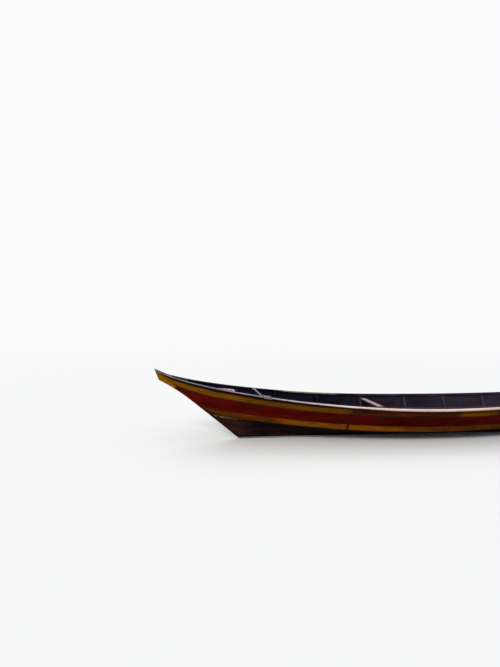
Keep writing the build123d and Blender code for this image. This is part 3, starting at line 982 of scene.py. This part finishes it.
def add_nails():
    search, rust, heads = planks_tree(), iron("nail iron"), nail_tree()
    for name, spots, radius, seed in (
        ("frame_nails", frame_nails(search), FRAME_NAIL, 3),
        ("plank_end_nails", end_nails(search), END_NAIL, 5),
        ("rail_nails", rail_nails(search), RAIL_NAIL, 8),
    ):
        start = mesh_object(name + " spots", [spot.at for spot in spots])
        out = start.data.attributes.new("out", "FLOAT_VECTOR", "POINT")
        out.data.foreach_set("vector", [part for spot in spots for part in spot.out])
        grow(start, heads, {"Head Radius": radius, "Head Height": radius * HEAD_HEIGHT,
                            "Spread": NAIL_SPREAD, "Seed": seed, "Iron": rust}, name)


def add_seams():
    """Pitch in the seams between the strakes, port and starboard."""
    points, edges = [], []
    for lower in STRAKES[:-1]:
        xs = np.linspace(HULL[lower].xs[0], HULL[lower].xs[-1], SEAM_POINTS)
        for side in (1, -1):
            start = len(points)
            points += [edge_at(lower, x, True) * Vector((1, side, 1)) for x in xs]
            edges += [(n, n + 1) for n in range(start, len(points) - 1)]
    lines = mesh_object("seam lines", points, edges)
    beads = grow(lines, bead_tree(), {
        "Width": SEAM_WIDE, "Step": SEAM_STEP, "Uneven": SEAM_UNEVEN, "Filling": pitch("seam pitch")},
        "seam_pitch")


def gunwale_turns(start, end, turns):
    """Rope wound round the port gunwale: over rail, plank and inwale, back through the plank below."""
    triangles = mesh_arrays(["rail_fore_port", "inwale_port"])
    half, lean = ROPE_THICK / 2, (end - start) / turns / 4
    points = []
    for number in range(turns + 1):
        x = start + (end - start) * number / turns
        cut = slice_at(triangles, x)
        inner, outer = cut[:, 0].min() - half, cut[:, 0].max() + half
        low, high = cut[:, 1].min() - half, cut[:, 1].max() + half
        corners = ((outer, low), (outer, high), (inner, high), (inner, low))
        points += [Vector((x + n * lean, y, z)) for n, (y, z) in enumerate(corners)]
    return points


def bar_turns(start, end, turns):
    """Rope wound round the tie bar from one place across the boat to another."""
    low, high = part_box("tie_bar")
    half = ROPE_THICK / 2
    corners = ((low.x - half, low.z - half), (low.x - half, high.z + half),
               (high.x + half, high.z + half), (high.x + half, low.z - half))
    return [Vector((x, start + (end - start) * (number + n / 4) / turns, z))
            for number in range(turns) for n, (x, z) in enumerate(corners)]


def add_lashings():
    """Taut turns that hold the tie bar, and a spare length wound round the gunwale abaft it."""
    low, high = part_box("tie_bar")
    laid = {
        "gunwale_lashing": gunwale_turns(
            low.x - SPARE_ROPE_REACH, low.x - ROPE_CLEAR, SPARE_ROPE_TURNS),
        "tie_bar_lashing_port": bar_turns(
            high.y - BAR_ROPE_REACH, high.y - ROPE_CLEAR, BAR_ROPE_TURNS),
        "tie_bar_lashing_starboard": bar_turns(
            low.y + ROPE_CLEAR, low.y + BAR_ROPE_REACH, BAR_ROPE_TURNS),
    }
    tree, fibre = rope_tree(), rope_fibre("rope fibre")
    for name, points in laid.items():
        start = mesh_object(name + " line", points, [(n, n + 1) for n in range(len(points) - 1)])
        rope = grow(start, tree, {"Thickness": ROPE_THICK, "Corner": ROPE_CORNER, "Rope": fibre}, name)


def floor_mesh():
    """Rings of faces on the ground, farther apart the farther out they lie."""
    points = [Vector((0, 0, GROUND))]
    for ring in range(1, FLOOR_RINGS + 1):
        radius = FLOOR_REACH * (ring / FLOOR_RINGS) ** 2
        for spoke in range(FLOOR_SPOKES):
            turn = 2 * math.pi * spoke / FLOOR_SPOKES
            points.append(Vector((radius * math.cos(turn), radius * math.sin(turn), GROUND)))
    afters = [(spoke + 1) % FLOOR_SPOKES for spoke in range(FLOOR_SPOKES)]
    faces = [(0, 1 + spoke, 1 + after) for spoke, after in enumerate(afters)]
    for inner in range(1, 1 + (FLOOR_RINGS - 1) * FLOOR_SPOKES, FLOOR_SPOKES):
        outer = inner + FLOOR_SPOKES
        faces += [(inner + spoke, outer + spoke, outer + after, inner + after)
                  for spoke, after in enumerate(afters)]
    return mesh_object("floor", points, faces=faces)


def add_floor():
    """A pale floor that turns into the backdrop's colour far away."""
    surface = Surface("floor plaster")
    tree = surface.tree
    speck = surface.cloud(30.0, 4.0)
    seen = seen_directly(tree)
    colour = mix(tree, seen, FLOOR_UNDER, FLOOR)
    surface.finish(colour, ramp(tree, speck, 0.0, 1.0, 0.75, 0.9), speck, FLOOR_RELIEF)
    away = add_node(tree, "VectorMath", {0: surface.place}, operation="LENGTH").outputs["Value"]
    share = times(tree, ramp(tree, away, *FLOOR_FADES), seen)
    glow = add_node(tree, "Emission", {"Color": rgba(BACKDROP), "Strength": 1.0})
    joined = add_node(tree, "MixShader", {0: share, 1: surface.shader.outputs[0], 2: glow.outputs[0]})
    wire(tree, tree.nodes["Material Output"], {"Surface": joined.outputs[0]})
    floor = floor_mesh()
    floor.data.materials.append(surface.material)


def add_light():
    """A pale room all round and two broad soft lamps from above."""
    world = bpy.data.worlds.new("studio")
    bpy.context.scene.world = world
    world.use_nodes = True
    tree = world.node_tree
    tree.nodes.clear()
    fill = add_node(tree, "Background", {"Color": rgba(ROOM_LIGHT), "Strength": ROOM_STRENGTH})
    shown = add_node(tree, "Background", {"Color": rgba(BACKDROP), "Strength": 1.0})
    seen = seen_directly(tree)
    joined = add_node(tree, "MixShader", {0: seen, 1: fill.outputs[0], 2: shown.outputs[0]})
    add_node(tree, "OutputWorld", {"Surface": joined.outputs[0]})
    for lamp in LAMPS:
        data = bpy.data.lights.new(lamp.name, "SUN")
        data.energy = lamp.strength
        data.angle = math.radians(lamp.wide)
        data.color = lamp.colour
        made = add_object(lamp.name, data)
        made.rotation_euler = Vector(lamp.toward).to_track_quat("-Z", "Y").to_euler()


def add_camera():
    data = bpy.data.cameras.new("camera")
    data.sensor_fit = "AUTO"
    data.lens = data.sensor_width * FOCUS_PIXELS / LONG_SIDE_PIXELS
    made = add_object("camera", data)
    level = CAMERA_LOOK.to_track_quat("-Z", "Y").to_matrix().to_4x4()
    made.matrix_world = Matrix.Translation(CAMERA_AT) @ level @ Matrix.Rotation(CAMERA_LEAN, 4, "Z")
    bpy.context.scene.camera = made


dress_nodes()
add_nails()
add_seams()
add_lashings()
add_floor()
add_light()
add_camera()
bpy.context.scene.view_settings.view_transform = "Standard"
